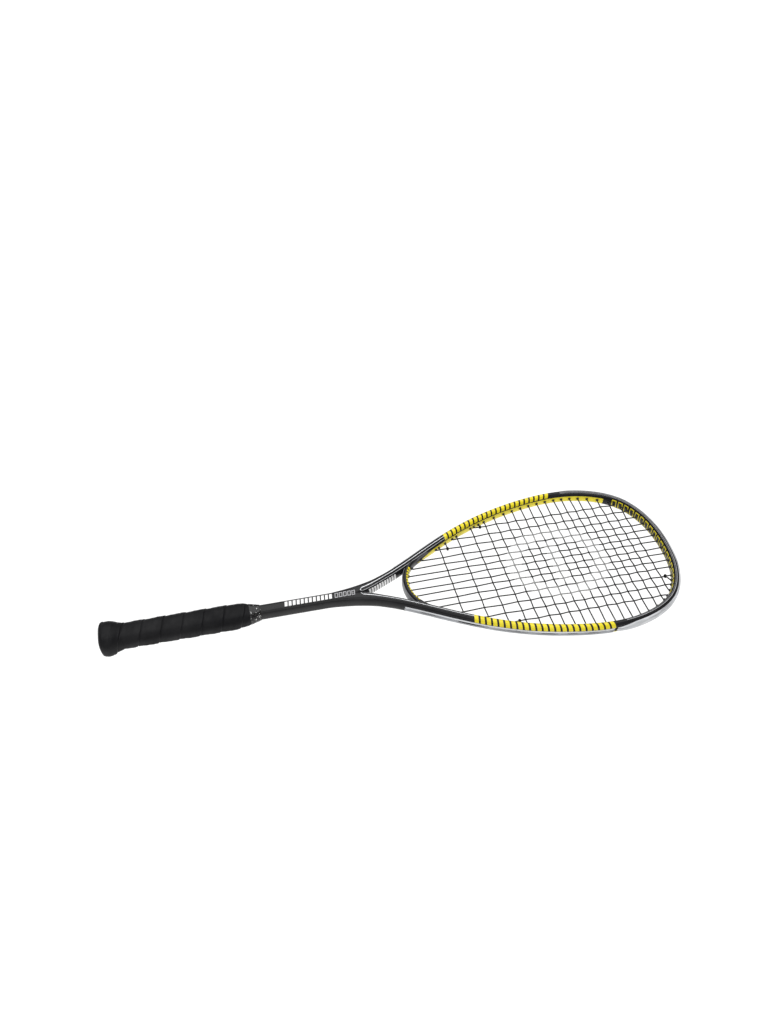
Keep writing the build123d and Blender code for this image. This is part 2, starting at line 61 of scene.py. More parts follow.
# Across the channel, as a share of its half height, and whether the point is on its floor.
CHANNEL_OUTLINE = [(-1, False), (-1, True), (-0.5, True), (0, True), (0.5, True), (1, True), (1, False)]
SHAFT_SHOWN_FROM = 170.0
FRAME_CREASE = 38              # degrees; an edge folded more sharply than this is shaded as an edge

BRIDGE_CENTRE_X = 400.5
BRIDGE_INNER_RADIUS = 39.3
BRIDGE_THICKNESS = 7.0
BRIDGE_HALF_DEPTH = 7.4
BRIDGE_SQUARENESS = 2.8
BRIDGE_HALF_ANGLE = 54.0
BRIDGE_CHANNEL_DEPTH = 2.2
BRIDGE_CHANNEL_HALF_HEIGHT = 2.4
BRIDGE_CENTRE = np.array([BRIDGE_CENTRE_X, 0.0, 0.0])
BRIDGE_FLOOR_RADIUS = BRIDGE_INNER_RADIUS + BRIDGE_THICKNESS - BRIDGE_CHANNEL_DEPTH

MAIN_Y = [5.2, 14.6, 24.4, 34.7, 46.4, 58.5, 71.7]
FIRST_CROSS_X = 412.5
CROSS_PITCH = [26, 21, 19.5, 14.5, 14, 12, 12, 11.5, 11.5, 11.5, 11.5, 10.5, 10.5, 10.5, 11, 12, 11.5, 12]
CROSS_X = [FIRST_CROSS_X + sum(CROSS_PITCH[:j]) for j in range(len(CROSS_PITCH) + 1)]
STRING_RADIUS = 0.75

# ---------------------------------------------------------------- curves


def clamped_spline(points, first_slope, last_slope):
    """A smooth curve through points, with its end directions given, by distance along it."""
    p = np.array(points, float)
    u = np.concatenate([[0.0], np.cumsum(np.linalg.norm(np.diff(p, axis=0), axis=1))])
    h = np.diff(u)
    count = len(p)
    a = np.zeros((count, count))
    r = np.zeros((count, 2))
    a[0, 0] = a[-1, -1] = 1
    r[0], r[-1] = first_slope, last_slope
    for i in range(1, count - 1):
        a[i, i - 1], a[i, i], a[i, i + 1] = h[i], 2 * (h[i - 1] + h[i]), h[i - 1]
        r[i] = 3 * (h[i] * (p[i] - p[i - 1]) / h[i - 1] + h[i - 1] * (p[i + 1] - p[i]) / h[i])
    m = np.linalg.solve(a, r)

    def at(v):
        i = np.clip(np.searchsorted(u, v, side="right") - 1, 0, count - 2)
        w = ((v - u[i]) / h[i])[:, None]
        d = h[i][:, None]
        return ((2 * w ** 3 - 3 * w ** 2 + 1) * p[i] + (w ** 3 - 2 * w ** 2 + w) * d * m[i]
                + (3 * w ** 2 - 2 * w ** 3) * p[i + 1] + (w ** 3 - w ** 2) * d * m[i + 1])

    fine = at(np.linspace(0, u[-1], 4000))
    length = np.concatenate([[0.0], np.cumsum(np.linalg.norm(np.diff(fine, axis=0), axis=1))])
    return fine, length


LINE, LINE_LENGTH = clamped_spline(HALF_LINE, (1, 0), (0, -1))
TIP = LINE_LENGTH[-1]          # distance along the half line to the tip


def table(x, pairs):
    return np.interp(x, [p[0] for p in pairs], [p[1] for p in pairs])


def smooth_step(v):
    v = np.clip(v, 0, 1)
    return v * v * (3 - 2 * v)


def stations(s):
    """Centre, outward normal and tube sizes at distances s along the left half.

    s is 0 at the top of the shaft, negative down the shaft and past TIP on the right half."""
    s = np.atleast_1d(np.asarray(s, float))
    past = s > TIP
    inside = np.where(past, 2 * TIP - s, s)
    x = np.where(inside < 0, SHAFT_TOP + inside, np.interp(inside, LINE_LENGTH, LINE[:, 0]))
    y = np.where(inside < 0, 0.0, np.interp(inside, LINE_LENGTH, LINE[:, 1]))
    step = 0.5
    ahead = np.clip(inside + step, 0, TIP)
    behind = np.clip(inside - step, 0, TIP)
    dx = np.interp(ahead, LINE_LENGTH, LINE[:, 0]) - np.interp(behind, LINE_LENGTH, LINE[:, 0])
    dy = np.interp(ahead, LINE_LENGTH, LINE[:, 1]) - np.interp(behind, LINE_LENGTH, LINE[:, 1])
    flat = inside <= 0
    dx = np.where(flat, 1.0, dx)
    dy = np.where(flat, 0.0, dy)
    size = np.hypot(dx, dy)
    normal = np.stack([-dy / size, dx / size], 1)
    sign = np.where(past, -1.0, 1.0)
    centre = np.stack([x, y * sign], 1)
    normal[:, 1] *= sign
    return centre, normal, table(x, TUBE_HALF_WIDTH), table(x, TUBE_HALF_DEPTH), table(x, TUBE_SQUARENESS)


def s_at_x(x):
    """Distance along the half line where its centre reaches x, on the handle side of the widest."""
    if x <= SHAFT_TOP:
        return x - SHAFT_TOP
    widest = int(np.argmax(LINE[:, 1]))
    return float(np.interp(x, LINE[:widest, 0], LINE_LENGTH[:widest]))


def s_at_x_head(x):
    """The same on the tip's side of the widest."""
    widest = int(np.argmax(LINE[:, 1]))
    return float(np.interp(x, LINE[widest:, 0], LINE_LENGTH[widest:]))


def rounded_outline(angle, a, b, n, lift=0.0):
    """Points of an outline between an ellipse (n = 2) and a rectangle, raised by lift."""
    c, w = np.cos(angle), np.sin(angle)
    across = np.sign(c) * np.abs(c) ** (2 / n) * a
    up = np.sign(w) * np.abs(w) ** (2 / n) * b
    steep_across = np.sign(c) * np.abs(c) ** (2 - 2 / n) / a
    steep_up = np.sign(w) * np.abs(w) ** (2 - 2 / n) / b
    size = np.hypot(steep_across, steep_up)
    return across + lift * steep_across / size, up + lift * steep_up / size


def beside(centre, normal, out, z):
    """Points this far out from the centre line, at height z."""
    return np.stack([centre[:, 0] + out * normal[:, 0], centre[:, 1] + out * normal[:, 1], z], 1)


def tube_point(s, angle, lift=0.0):
    """Points on the tube's outside. angle is 0 outwards, 90 degrees up and 180 inwards."""
    centre, normal, a, b, n = stations(s)
    out, z = rounded_outline(angle, a, b, n, lift)
    return beside(centre, normal, out, z)


def angle_at_height(s, z):
    """The outer-side angle whose surface point is at height z."""
    _, _, _, b, n = stations(s)
    return np.arcsin((z / b) ** (n / 2))


# ---------------------------------------------------------------- meshes

def new_mesh(name, verts, faces, material, sharp=None):
    """A piece from vertices in millimetres. sharp is the angle in degrees above which edges show."""
    mesh = bpy.data.meshes.new(name)
    mesh.from_pydata([tuple(float(c) * MM for c in v) for v in verts], [], faces)
    work = bmesh.new()
    work.from_mesh(mesh)
    bmesh.ops.recalc_face_normals(work, faces=list(work.faces))
    work.to_mesh(mesh)
    work.free()
    for polygon in mesh.polygons:
        polygon.use_smooth = True
    if sharp is not None:
        mesh.set_sharp_from_angle(angle=math.radians(sharp))
    mesh.materials.append(material)
    piece = bpy.data.objects.new(name, mesh)
    bpy.context.scene.collection.objects.link(piece)
    return piece


def finish(piece, slot, *replaced):
    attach(piece, "root")
    if replaced:
        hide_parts(*replaced)


def ring_faces(rings, around):
    """Faces between closed rings that have this many points each."""
    faces = []
    for i in range(rings - 1):
        for k in range(around):
            k2 = (k + 1) % around
            faces.append((i * around + k, i * around + k2, (i + 1) * around + k2, (i + 1) * around + k))
    return faces


def loop_faces(rings, around):
    """The same, with the last ring joined to the first."""
    last = (rings - 1) * around
    ends = [(last + k, last + (k + 1) % around, (k + 1) % around, k) for k in range(around)]
    return ring_faces(rings, around) + ends


def capped_faces(rings, around):
    """The same as ring_faces, with the first and last ring filled."""
    last = (rings - 1) * around
    caps = [tuple(reversed(range(around))), tuple(range(last, last + around))]
    return ring_faces(rings, around) + caps


def tube_mesh(path, radius, sides=10):
    """A round tube along a path that never runs straight up, closed at both ends."""
    path = np.asarray(path, float)
    step = np.diff(path, axis=0)
    step /= np.linalg.norm(step, axis=1)[:, None]
    tangent = np.vstack([step[:1], step[:-1] + step[1:], step[-1:]])
    tangent /= np.linalg.norm(tangent, axis=1)[:, None]
    side = np.cross(tangent, (0.0, 0.0, 1.0))
    side /= np.linalg.norm(side, axis=1)[:, None]
    rise = np.cross(side, tangent)
    angle = np.linspace(0, 2 * math.pi, sides, endpoint=False)[None, :, None]
    rings = path[:, None] + radius * (np.cos(angle) * side[:, None] + np.sin(angle) * rise[:, None])
    return rings.reshape(-1, 3), capped_faces(len(path), sides)


def turned_profile(path, radii, axis, sides=14):
    """A ring turned about an axis that lies flat: its profile is closed on itself."""
    side = np.cross(axis, (0.0, 0.0, 1.0))
    rise = np.cross(side, axis)
    angle = np.linspace(0, 2 * math.pi, sides, endpoint=False)[:, None]
    around = np.cos(angle) * side + np.sin(angle) * rise
    rings = [place + radius * around for place, radius in zip(path, radii)]
    return np.vstack(rings), loop_faces(len(rings), sides)


def join(parts):
    """One list of vertices and faces from several."""
    verts, faces, base = [], [], 0
    for v, f in parts:
        verts.append(np.asarray(v, float))
        faces += [tuple(i + base for i in face) for face in f]
        base += len(v)
    return np.vstack(verts), faces


def on_tube(s, degrees, lift):
    return tube_point(s, np.radians(degrees), lift)


def on_bridge(turn, degrees, lift):
    return bridge_point(turn, np.radians(degrees), lift)


def on_shaft_top(x, y, lift):
    """The upper side of the shaft and of the crotch, where the two arms run together."""
    s = np.where(x < SHAFT_TOP, x - SHAFT_TOP, np.interp(x, LINE[:, 0], LINE_LENGTH))
    centre, _, a, b, n = stations(s)
    off = np.abs(np.abs(y) - centre[:, 1]) / a
    return np.stack([x, y, b * (1 - off ** n) ** (1 / n) + lift], 1)


def patch(surface, s_low, s_high, v_low, v_high, slant=0.0, taper=0.0, lift=0.06, depth=0.3, step=1.5,
          v_step=5.0, mirrored=False):
    """A thin closed patch of paint or film on a surface.

    slant moves its high edge along, and taper is the length over which its start comes to a point."""
    length = abs(s_high - s_low)
    columns = max(3, int(length / step) + 2)
    rows = max(3, int(abs(v_high - v_low) / v_step) + 2)
    u, v = np.meshgrid(np.linspace(0, 1, columns), np.linspace(0, 1, rows), indexing="ij")
    width = np.clip(u * length / taper, 0.04, 1) if taper else np.ones_like(u)
    s = (s_low + (s_high - s_low) * u + slant * v).ravel()
    v = ((v_low + v_high) / 2 + (v - 0.5) * (v_high - v_low) * width).ravel()
    verts = np.vstack([surface(s, v, lift), surface(s, v, lift - depth)])
    count = rows * columns
    faces = []
    for i in range(columns - 1):
        for k in range(rows - 1):
            a, b, c, d = i * rows + k, (i + 1) * rows + k, (i + 1) * rows + k + 1, i * rows + k + 1
            faces.append((a, b, c, d))
            faces.append((a + count, d + count, c + count, b + count))
    rim = [i * rows for i in range(columns)]
    rim += [(columns - 1) * rows + k for k in range(1, rows)]
    rim += [i * rows + rows - 1 for i in range(columns - 2, -1, -1)]
    rim += list(range(rows - 2, 0, -1))
    for a, b in zip(rim, rim[1:] + rim[:1]):
        faces.append((b, a, a + count, b + count))
    if mirrored:
        verts[:, 1] *= -1
    return verts, faces


def both_sides(*place, **settings):
    return [patch(on_tube, *place, **settings), patch(on_tube, *place, mirrored=True, **settings)]


# ---------------------------------------------------------------- materials

class Paint:
    """A material under construction, with short calls for the nodes that it needs."""

    def __init__(self, name, color, roughness, coat=0.0, metallic=0.0, specular=0.5):
        self.material = bpy.data.materials.new(name)
        self.material.use_nodes = True
        self.nodes = self.material.node_tree.nodes
        self.links = self.material.node_tree.links
        self.shader = self.nodes["Principled BSDF"]
        self.shader.inputs["Base Color"].default_value = (*color, 1)
        self.shader.inputs["Roughness"].default_value = roughness
        self.shader.inputs["Metallic"].default_value = metallic
        self.shader.inputs["Coat Weight"].default_value = coat
        self.shader.inputs["Coat Roughness"].default_value = 0.12
        self.shader.inputs["Specular IOR Level"].default_value = specular
        self.material.diffuse_color = (*color, 1)
        self.place = self.nodes.new("ShaderNodeTexCoord").outputs["Object"]

    def node(self, kind, **settings):
        made = self.nodes.new(kind)
        for key, value in settings.items():
            setattr(made, key, value)
        return made

    def feed(self, socket, value):
        if isinstance(value, (int, float, tuple)):
            socket.default_value = value
        else:
            self.links.new(value, socket)

    def texture(self, kind, scale, stretch):
        mapping = self.node("ShaderNodeMapping")
        mapping.inputs["Scale"].default_value = stretch
        self.links.new(self.place, mapping.inputs["Vector"])
        made = self.node(kind)
        made.inputs["Scale"].default_value = scale
        self.links.new(mapping.outputs[0], made.inputs["Vector"])
        return made

    def noise(self, scale, detail=3.0, rough=0.5, stretch=(1, 1, 1)):
        made = self.texture("ShaderNodeTexNoise", scale, stretch)
        made.inputs["Detail"].default_value = detail
        made.inputs["Roughness"].default_value = rough
        return made.outputs["Fac"]

    def voronoi(self, scale):
        return self.texture("ShaderNodeTexVoronoi", scale, (1, 1, 1)).outputs["Distance"]

    def span(self, value, low, high, new_low=0.0, new_high=1.0):
        made = self.node("ShaderNodeMapRange")
        self.feed(made.inputs["Value"], value)
        limits = {"From Min": low, "From Max": high, "To Min": new_low, "To Max": new_high}
        for key, number in limits.items():
            made.inputs[key].default_value = number
        return made.outputs["Result"]

    def math(self, operation, a, b=0.0):
        made = self.node("ShaderNodeMath", operation=operation)
        self.feed(made.inputs[0], a)
        self.feed(made.inputs[1], b)
        return made.outputs[0]

    def mix(self, factor, a, b):
        made = self.node("ShaderNodeMix", data_type="RGBA")
        self.feed(made.inputs["Factor"], factor)
        self.feed(made.inputs["A"], (*a, 1) if isinstance(a, tuple) else a)
        self.feed(made.inputs["B"], (*b, 1) if isinstance(b, tuple) else b)
        return made.outputs["Result"]

    def color(self, value):
        self.links.new(value, self.shader.inputs["Base Color"])

    def roughness(self, value):
        self.links.new(value, self.shader.inputs["Roughness"])

    def bump(self, height, distance, strength):
        made = self.node("ShaderNodeBump")
        made.inputs["Distance"].default_value = distance
        made.inputs["Strength"].default_value = strength
        self.links.new(height, made.inputs["Height"])
        self.links.new(made.outputs["Normal"], self.shader.inputs["Normal"])


def lacquer():
    p = Paint("black_lacquer", (0.008, 0.008, 0.009), 0.32, coat=0.1, specular=0.16)
    cloud = p.noise(38, 4)
    fleck = p.span(p.noise(2600, 1), 0.62, 0.72)
    base = p.mix(p.span(cloud, 0.35, 0.65), (0.007, 0.007, 0.008), (0.013, 0.013, 0.014))
    p.color(p.mix(p.math("MULTIPLY", fleck, 0.25), base, (0.05, 0.05, 0.052)))
    p.roughness(p.span(p.noise(120, 3), 0.3, 0.7, 0.24, 0.36))
    p.bump(p.noise(900, 2), 0.00002, 0.5)
    return p.material


def ink(name, color, roughness=0.32):
    p = Paint(name, color, roughness, coat=0.15, specular=0.3)
    darker = tuple(c * 0.88 for c in color)
    p.color(p.mix(p.span(p.noise(160, 3), 0.35, 0.65), darker, color))
    p.roughness(p.span(p.noise(300, 2), 0.3, 0.7, roughness - 0.05, roughness + 0.08))
    p.bump(p.noise(700, 2), 0.00002, 0.5)
    return p.material


def silver_ink():
    p = Paint("silver_ink", (0.7, 0.71, 0.73), 0.28, coat=0.3, metallic=0.25)
    p.color(p.mix(p.span(p.noise(240, 3), 0.35, 0.65), (0.6, 0.61, 0.63), (0.78, 0.79, 0.81)))
    p.roughness(p.span(p.noise(500, 2), 0.3, 0.7, 0.24, 0.36))
    return p.material


def moulded(name, color, roughness, vary=0.14):
    """Moulded nylon: faint flow marks, a fine grain and rubbed patches."""
    p = Paint(name, color, roughness)
    darker = tuple(c * (1 - vary) for c in color)
    lighter = tuple(min(1, c * (1 + vary)) for c in color)
    flow = p.noise(60, 4, stretch=(0.6, 1, 2.5))
    p.color(p.mix(p.span(flow, 0.35, 0.65), darker, lighter))
    p.roughness(p.span(p.noise(220, 3), 0.3, 0.7, roughness - 0.08, roughness + 0.1))
    p.bump(p.noise(1400, 3), 0.00003, 0.6)
    return p.material


def bumper_nylon():
    """Pale moulded nylon with painted shade: dark streaks that run round the head stand for the shade in
    shallow grooves, which the bump dents.
    """
    p = Paint("bumper_nylon", (0.6, 0.61, 0.63), 0.4)
    groove_and_shade = p.span(p.noise(70, 4, stretch=(0.35, 0.35, 9)), 0.5, 0.62)
    base = p.mix(p.span(p.noise(60, 4), 0.35, 0.65), (0.52, 0.53, 0.55), (0.66, 0.67, 0.69))
    # Painted shade: the streaks darken the colour where the grooves would be shaded.
    p.color(p.mix(p.math("MULTIPLY", groove_and_shade, 0.75), base, (0.17, 0.17, 0.18)))
    p.roughness(p.span(p.noise(220, 3), 0.3, 0.7, 0.32, 0.5))
    p.bump(p.math("MULTIPLY", groove_and_shade, -1.0), 0.00006, 0.6)
    return p.material


def grip_rubber():
    """Cushion tape: soft black polyurethane with pores, handling shine and slight creases."""
    p = Paint("grip_polyurethane", (0.005, 0.005, 0.006), 0.5, specular=0.12)
    worn = p.span(p.noise(34, 4), 0.4, 0.68)
    p.color(p.mix(worn, (0.004, 0.004, 0.005), (0.009, 0.009, 0.01)))
    p.roughness(p.span(p.noise(90, 4), 0.3, 0.7, 0.42, 0.6))
    grain = p.math("MULTIPLY", p.voronoi(1500), 0.6)
    crease = p.math("MULTIPLY", p.noise(150, 5, 0.6, stretch=(2.2, 0.7, 0.7)), 1.2)
    p.bump(p.math("ADD", grain, crease), 0.00022, 0.6)
    return p.material


def finishing_film():
    """Glossy black tape with pale flecks where its print has worn."""
    p = Paint("finishing_film", (0.008, 0.008, 0.008), 0.2, coat=0.15, specular=0.22)
    fleck = p.span(p.noise(330, 2, 0.6, stretch=(2.2, 1, 1)), 0.63, 0.67)
    p.color(p.mix(fleck, (0.007, 0.007, 0.007), (0.8, 0.8, 0.79)))
    p.roughness(p.span(p.noise(140, 3), 0.3, 0.7, 0.1, 0.24))
    p.bump(p.noise(160, 3, stretch=(3, 1, 1)), 0.00015, 0.5)
    return p.material


def string_fibre():
    """Black string with a fine grain and a worn pale ring and bar stencilled across the bed."""
    p = Paint("string_fibre", (0.007, 0.007, 0.008), 0.4, specular=0.2)
    split = p.node("ShaderNodeSeparateXYZ")
    p.links.new(p.place, split.inputs[0])
    dx = p.math("DIVIDE", p.math("SUBTRACT", split.outputs["X"], STENCIL_X * MM), STENCIL_LONG * MM)
    dy = p.math("DIVIDE", split.outputs["Y"], STENCIL_WIDE * MM)
    reach = p.math("SQRT", p.math("ADD", p.math("MULTIPLY", dx, dx), p.math("MULTIPLY", dy, dy)))
    off_ring = p.math("ABSOLUTE", p.math("SUBTRACT", reach, 0.85))
    ring = p.math("LESS_THAN", off_ring, 0.15)
    bar = p.math("LESS_THAN", p.math("ABSOLUTE", dx), 0.12)
    mask = p.math("MAXIMUM", ring, p.math("MULTIPLY", bar, p.math("LESS_THAN", reach, 0.6)))
    worn = p.math("MULTIPLY", mask, p.span(p.noise(700, 3), 0.35, 0.5, 0.35, 1.0))
    dark = p.mix(p.noise(900, 2), (0.004, 0.004, 0.005), (0.01, 0.01, 0.011))
    p.color(p.mix(worn, dark, (0.3, 0.3, 0.3)))
    p.roughness(p.span(p.noise(900, 2), 0.3, 0.7, 0.3, 0.46))
    p.bump(p.noise(5000, 2), 0.00002, 0.5)
    return p.material


def bare_steel():
    p = Paint("staple_steel", (0.6, 0.6, 0.62), 0.3, metallic=1.0)
    p.roughness(p.span(p.noise(2000, 2), 0.3, 0.7, 0.22, 0.4))
    return p.material


def plain_floor():
    p = Paint("floor_paper", (0.97, 0.97, 0.97), 0.85)
    p.color(p.mix(p.noise(6, 3), (0.96, 0.96, 0.96), (0.99, 0.99, 0.99)))
    p.bump(p.noise(400, 2), 0.0001, 0.2)
    return p.material


# A plain ring and bar stand for the stencil on the strings.
STENCIL_X = 545.0
STENCIL_LONG = 62.0
STENCIL_WIDE = 52.0

BLACK = lacquer()
YELLOW = ink("yellow_ink", (0.86, 0.72, 0.015))
WHITE = ink("white_ink", (0.93, 0.93, 0.93))
PALE = ink("pale_grey_ink", (0.5, 0.5, 0.52))
DARK = ink("dark_ink", (0.01, 0.01, 0.01))
# A painted highlight: grey-blue paint for the light that the black lacquer reflects on the arms' inner top.
PAINTED_HIGHLIGHT_GREY = ink("painted_highlight_grey", (0.085, 0.085, 0.1), 0.2)
SILVER = silver_ink()
STRIP = moulded("grommet_nylon", (0.6, 0.61, 0.63), 0.42)
BUMPER = bumper_nylon()
COVER = moulded("cover_nylon", (0.2, 0.2, 0.21), 0.42)
CAP = moulded("cap_nylon", (0.015, 0.015, 0.016), 0.5)
FOAM = moulded("pallet_foam", (0.32, 0.29, 0.24), 0.9)
STEEL = bare_steel()
GRIP = grip_rubber()
FILM = finishing_film()
NOSE = moulded("nose_nylon", (0.015, 0.015, 0.016), 0.4)
STRING = string_fibre()


# ---------------------------------------------------------------- frame tube

def tube_ring(s, around=44):
    """Rings of the tube at distances s, each with the string channel on its outer side."""
    centre, normal, a, b, n = stations(s)
    depth = CHANNEL_DEPTH * np.clip((centre[:, 0] - CHANNEL_START_X) / 2.5, 0, 1)
    edge = angle_at_height(s, CHANNEL_HALF_HEIGHT)
    rings = []
    for share, on_floor in CHANNEL_OUTLINE:
        z = CHANNEL_HALF_HEIGHT * share
        out = a * (1 - np.abs(z / b) ** n) ** (1 / n)
        if on_floor:
            out = np.where(depth > 0, np.minimum(out, a - depth), out)
        rings.append(beside(centre, normal, out, np.full(len(s), z)))
    for k in range(1, around):
        angle = edge + (2 * math.pi - 2 * edge) * k / around
        rings.append(tube_point(s, angle))
    return np.stack(rings, 1)


def half_tube():
    s = np.concatenate([np.linspace(SHAFT_SHOWN_FROM - SHAFT_TOP, 0, 40)[:-1],
                        np.arange(0, TIP + 4, 1.6)])
    rings = tube_ring(s)
    count, around, _ = rings.shape
    return rings.reshape(-1, 3), ring_faces(count, around)


def make_frame():
    """Half of the tube, cut on the racket's own plane and mirrored onto itself."""
    verts, faces = half_tube()
    piece = new_mesh("frame_shell", verts, faces, BLACK)
    work = bmesh.new()
    work.from_mesh(piece.data)
    everything = list(work.verts) + list(work.edges) + list(work.faces)
    bmesh.ops.bisect_plane(work, geom=everything, dist=1e-7, plane_co=(0, 0, 0), plane_no=(0, -1, 0),
                           clear_outer=True)
    for vert in work.verts:
        if abs(vert.co.y) < 2e-6:
            vert.co.y = 0
    bmesh.ops.mirror(work, geom=list(work.verts) + list(work.edges) + list(work.faces),
                     matrix=Matrix.Identity(4), merge_dist=-1, axis="Y")
    bmesh.ops.remove_doubles(work, verts=list(work.verts), dist=2e-6)
    bmesh.ops.holes_fill(work, edges=[edge for edge in work.edges if edge.is_boundary])
    bmesh.ops.recalc_face_normals(work, faces=list(work.faces))
    work.to_mesh(piece.data)
    work.free()
    for polygon in piece.data.polygons:
        polygon.use_smooth = True
    piece.data.set_sharp_from_angle(angle=math.radians(FRAME_CREASE))
    finish(piece, "frame_lacquer", "frame")


def bridge_point(turn, angle, lift=0.0):
    """Points on the bridge's outside, at turn degrees round it from the racket's axis towards +Y.

    angle is 0 towards the handle and 180 degrees towards the head."""
    out, z = rounded_outline(angle, BRIDGE_THICKNESS / 2, BRIDGE_HALF_DEPTH, BRIDGE_SQUARENESS, lift)
    radius = BRIDGE_INNER_RADIUS + BRIDGE_THICKNESS / 2 + out
    turn = np.radians(turn)
    return np.stack([BRIDGE_CENTRE_X - radius * np.cos(turn), radius * np.sin(turn), z], 1)


def make_bridge():
    """The bridge's rounded bar, run on into both arms, with its shallow string channel."""
    turns = np.linspace(-BRIDGE_HALF_ANGLE - 5, BRIDGE_HALF_ANGLE + 5, 90)
    around = np.linspace(0, 2 * math.pi, 48, endpoint=False)
    turn, angle = np.meshgrid(turns, around, indexing="ij")
    verts = bridge_point(turn.ravel(), angle.ravel())
    from_centre = verts[:, :2] - BRIDGE_CENTRE[:2]
    outward = from_centre / np.linalg.norm(from_centre, axis=1)[:, None]
    in_channel = (np.abs(verts[:, 2]) < BRIDGE_CHANNEL_HALF_HEIGHT) & (np.cos(angle.ravel()) > 0)
    verts[:, :2] -= outward * np.where(in_channel, BRIDGE_CHANNEL_DEPTH, 0.0)[:, None]
    faces = ring_faces(len(turns), len(around))
    last = (len(turns) - 1) * len(around)
    faces += [tuple(range(len(around))), tuple(reversed(range(last, last + len(around))))]
    piece = new_mesh("throat_bridge_shell", verts, faces, BLACK, sharp=FRAME_CREASE)
    finish(piece, "frame_lacquer", "throat_bridge")


make_frame()
make_bridge()

# ---------------------------------------------------------------- string holes

STRING_LIFT = 1.9              # of the strings outside, above the channel's floor
NOSE_LENGTH = 1.0
NOSE_RADIUS = 1.75
NOSE_PROFILE = [(-1.2, 1.5), (-0.2, NOSE_RADIUS), (0.8, NOSE_RADIUS), (1.15, 1.55), (1.3, 1.2), (1.2, 0.85),
                (0.4, 0.7), (-1.2, 0.7)]        # distance in from the wall, and radius
STRING_BEND = 1.5
WEAVE_HEIGHT = 0.78
WEAVE_RADIUS = 8.0
LOOP_STEP = 7.0
LOOP_BEND = 25.0
PASSING_HEIGHT = 1.45
KNOT_REACH = 2.5               # a string stops this far short of its knot's middle
MAIN_TIE_OFF = (224.3, 471.6, 71.7)          # hole's place along the frame, knot's X and Y
CROSS_END_TIE_OFF = (170.0, 422.0, 46.4)
CROSS_START_TIE_OFF = (442.2, 661.0, 46.4)
ALONG = np.array([1.0, 0, 0])
ACROSS = np.array([0, 1.0, 0])


def flat_station(s):
    centre, normal, a, _, _ = stations(s)
    return np.append(centre[0], 0.0), np.append(normal[0], 0.0), float(a[0])


def over_channel(s, height, z=0.0):
    """The point this far above the floor of the string channel."""
    centre, normal, a = flat_station(s)
    return centre + normal * (a - CHANNEL_DEPTH + height) + np.array([0, 0, z])


class Hole:
    """A grommet hole square to its wall. inner is inside the head, outer on the channel's floor."""

    def __init__(self, inner, outer, s=0.0):
        self.inner = inner
        self.outer = outer
        self.s = s
        self.axis = (outer - inner) / np.linalg.norm(outer - inner)

    def mouth(self, direction):
        turn = math.acos(min(1.0, abs(float(np.dot(direction, self.axis)))))
        return self.inner - self.axis * (NOSE_LENGTH + STRING_BEND * math.tan(turn / 2))

    def exit(self):
        return self.outer + self.axis * STRING_LIFT


def hole_in_tube(s):
    """A hole through the tube, carried on to the bridge's inside face where that lies further in."""
    centre, normal, a = flat_station(s)
    inner = centre - normal * a
    from_bridge = inner - BRIDGE_CENTRE
    reach = float(np.linalg.norm(from_bridge))
    if inner[0] < BRIDGE_CENTRE_X and reach > BRIDGE_INNER_RADIUS:
        inward = float(np.dot(from_bridge, normal))
        inner = inner - normal * (inward - math.sqrt(inward ** 2 - reach ** 2 + BRIDGE_INNER_RADIUS ** 2))
    return Hole(inner, over_channel(s, 0.0), s)


def hole_for_line(value, direction, low, high):
    """The hole whose string runs along direction with its other coordinate at value."""
    axis = 0 if direction is ACROSS else 1

    def miss(s):
        return hole_in_tube(s).mouth(direction)[axis] - value

    rising = miss(high) > miss(low)
    for _ in range(32):
        middle = (low + high) / 2
        if (miss(middle) < 0) == rising:
            low = middle
        else:
            high = middle
    return hole_in_tube((low + high) / 2)


def hole_in_bridge(y):
    angle = 0.0
    for _ in range(10):
        angle = math.asin(y / (BRIDGE_INNER_RADIUS - NOSE_LENGTH - STRING_BEND * math.tan(angle / 2)))
    axis = np.array([-math.cos(angle), math.sin(angle), 0.0])
    return Hole(BRIDGE_CENTRE + axis * BRIDGE_INNER_RADIUS, BRIDGE_CENTRE + axis * BRIDGE_FLOOR_RADIUS)


WIDEST = s_at_x(574)
FIRST_HOLE = s_at_x(352)
bridge_holes = [hole_in_bridge(y) for y in MAIN_Y[:2]]
throat_holes = bridge_holes + [hole_for_line(y, ALONG, FIRST_HOLE, WIDEST) for y in MAIN_Y[2:]]
tip_holes = [hole_for_line(y, ALONG, WIDEST, TIP) for y in MAIN_Y]
cross_holes = [hole_for_line(x, ACROSS, FIRST_HOLE, TIP * 0.99) for x in CROSS_X]
main_tie_off, end_tie_off, start_tie_off = [
    hole_in_tube(tie[0]) for tie in (MAIN_TIE_OFF, CROSS_END_TIE_OFF, CROSS_START_TIE_OFF)]
main_knot, end_knot, start_knot = [
    np.array([tie[1], tie[2], 0.0]) for tie in (MAIN_TIE_OFF, CROSS_END_TIE_OFF, CROSS_START_TIE_OFF)]
tube_holes = throat_holes[2:] + tip_holes + cross_holes + [main_tie_off, end_tie_off, start_tie_off]

# ---------------------------------------------------------------- strings


